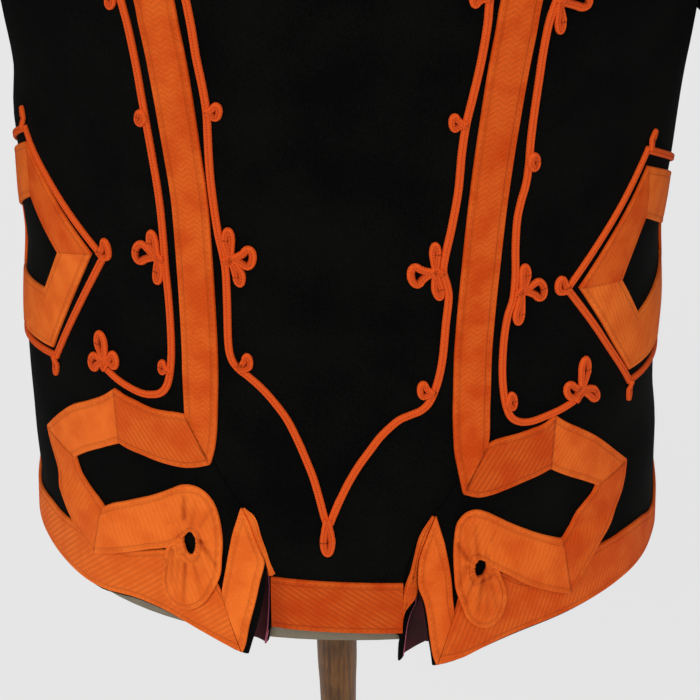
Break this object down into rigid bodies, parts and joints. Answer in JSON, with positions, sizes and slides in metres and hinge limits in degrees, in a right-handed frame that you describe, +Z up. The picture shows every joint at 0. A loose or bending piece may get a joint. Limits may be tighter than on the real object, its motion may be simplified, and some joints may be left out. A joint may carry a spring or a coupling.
{
  "type": "hussar jacket on a dress form",
  "caption": "Short close-fitting black wool jacket with orange flat braid, knots and cord on the back and short vents at the hem, on a limbless dress form with a turned table stand.",
  "frame": {"origin": "centre of the stand's base on the floor, at the underside of the base", "axes": "+Z up; the jacket's front looks along -Y and its back along +Y; +X is the wearer's left"},
  "size_m": [0.6532, 0.32, 0.998],
  "materials": {
    "cloth": "black fulled wool cloth, matte, with a short nap",
    "lining": "dark crimson plain-woven lining",
    "tape": "orange worsted braid with chevron ribs",
    "cord": "orange soutache cord of two ridges",
    "form_cover": "grey-beige plain-woven cover",
    "wood": "brown stained wood, satin"
  },
  "bodies": {
    "root": {"back_panel": "cloth", "side_back_left": "cloth", "side_back_right": "cloth", "front_left": "cloth", "front_right": "cloth", "top_sleeve_left": "cloth", "top_sleeve_right": "cloth", "under_sleeve_left": "cloth", "under_sleeve_right": "cloth", "collar": "cloth", "vent_lining_left": "lining", "vent_lining_right": "lining", "back_tape_left": "tape", "back_tape_right": "tape", "hem_tape_centre": "tape", "hem_tape_left": "tape", "hem_tape_right": "tape", "vent_tape_left": "tape", "vent_tape_right": "tape", "lozenge_tape_left": "tape", "lozenge_tape_right": "tape", "front_tape_left": "tape", "front_tape_right": "tape", "collar_tape": "tape", "cuff_tape_left": "tape", "cuff_tape_right": "tape", "inner_cord": "cord", "outer_cord_left": "cord", "outer_cord_right": "cord", "lozenge_cord_left": "cord", "lozenge_cord_right": "cord", "frog_1_left": "cord", "frog_1_right": "cord", "frog_2_left": "cord", "frog_2_right": "cord", "frog_3_left": "cord", "frog_3_right": "cord", "frog_4_left": "cord", "frog_4_right": "cord", "button_1": "cord", "button_2": "cord", "button_3": "cord", "button_4": "cord", "dress_form": "form_cover", "neck_cap": "wood", "stand_pole": "wood", "stand_base": "wood"}
  },
  "joints": []
}
